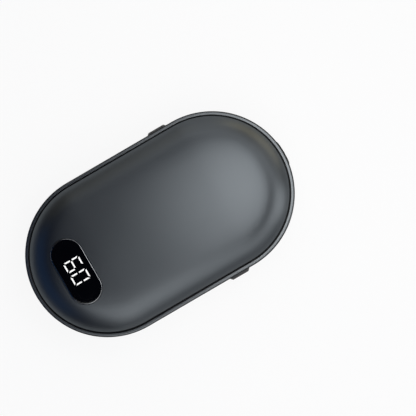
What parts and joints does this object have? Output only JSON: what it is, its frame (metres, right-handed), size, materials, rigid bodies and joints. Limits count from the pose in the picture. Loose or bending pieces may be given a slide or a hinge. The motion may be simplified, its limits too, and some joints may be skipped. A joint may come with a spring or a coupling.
{
  "type": "rechargeable hand warmer",
  "caption": "Pebble-shaped rechargeable hand warmer: two heated metal covers on a rim frame, a lit display window, side push buttons and a charging port.",
  "frame": {"origin": "middle of the flat rear face, which the object lies on", "axes": "+X along the body towards the charging port, +Y towards the power button, +Z out of the front face with the display"},
  "size_m": [0.1103, 0.0654, 0.0247],
  "materials": {
    "cover_metal": "satin gunmetal",
    "frame_plastic": "satin dark grey",
    "button_plastic": "satin dark grey",
    "seal_rubber": "matt black",
    "window_lens": "gloss black, see-through where lit",
    "window_glue": "matt black",
    "display_black": "matt black",
    "lit_segment": "glowing white",
    "dark_segment": "unlit",
    "board_green": "solder mask",
    "chip_black": "moulded",
    "ceramic_tan": "fired",
    "socket_cream": "moulded",
    "ribbon_white": "film",
    "nickel": "rolled",
    "port_steel": "pressed",
    "port_gold": "plated",
    "screw_steel": "zinc plated",
    "cell_wrap": "shrink film",
    "cradle_plastic": "moulded",
    "heater_film": "amber film",
    "foam_grey": "closed-cell foam",
    "lead_black": "insulated wire"
  },
  "bodies": {
    "housing": {"front_cover": "cover_metal", "rear_cover": "cover_metal", "mid_frame": "frame_plastic", "front_seal": "seal_rubber", "rear_seal": "seal_rubber", "display_window": "window_lens", "window_adhesive": "window_glue", "display_module": "display_black", "lit_segments": "lit_segment", "unlit_segments": "dark_segment", "display_board": "board_green", "display_screws": "screw_steel", "display_connector": "socket_cream", "display_ribbon": "ribbon_white", "battery_cell_left": "cell_wrap", "battery_cell_right": "cell_wrap", "positive_strip": "nickel", "negative_strip": "nickel", "negative_lead": "lead_black", "battery_cradle": "cradle_plastic", "cradle_screws": "screw_steel", "board_screws": "screw_steel", "main_board": "board_green", "inductor": "chip_black", "charge_chip": "chip_black", "control_chip": "chip_black", "board_capacitors": "ceramic_tan", "board_connector": "socket_cream", "front_heater": "heater_film", "rear_heater": "heater_film", "front_insulation": "foam_grey", "rear_insulation": "foam_grey", "front_thermistor": "chip_black", "rear_thermistor": "chip_black", "port_bezel": "frame_plastic", "usb_shell": "port_steel", "usb_insulator": "chip_black", "usb_contacts": "port_gold", "power_switch_body": "port_steel", "mode_switch_body": "port_steel"},
    "power_push": {"power_button": "button_plastic", "power_switch_plunger": "chip_black"},
    "mode_push": {"mode_button": "button_plastic", "mode_switch_plunger": "chip_black"}
  },
  "joints": [
    {"name": "power_press", "type": "slide", "parent": "housing", "child": "power_push", "axis": [0, -1, 0], "range_m": [0, 0.00035], "stiffness_N_per_m": 400},
    {"name": "mode_press", "type": "slide", "parent": "housing", "child": "mode_push", "axis": [0, 1, 0], "range_m": [0, 0.00035], "stiffness_N_per_m": 400}
  ]
}
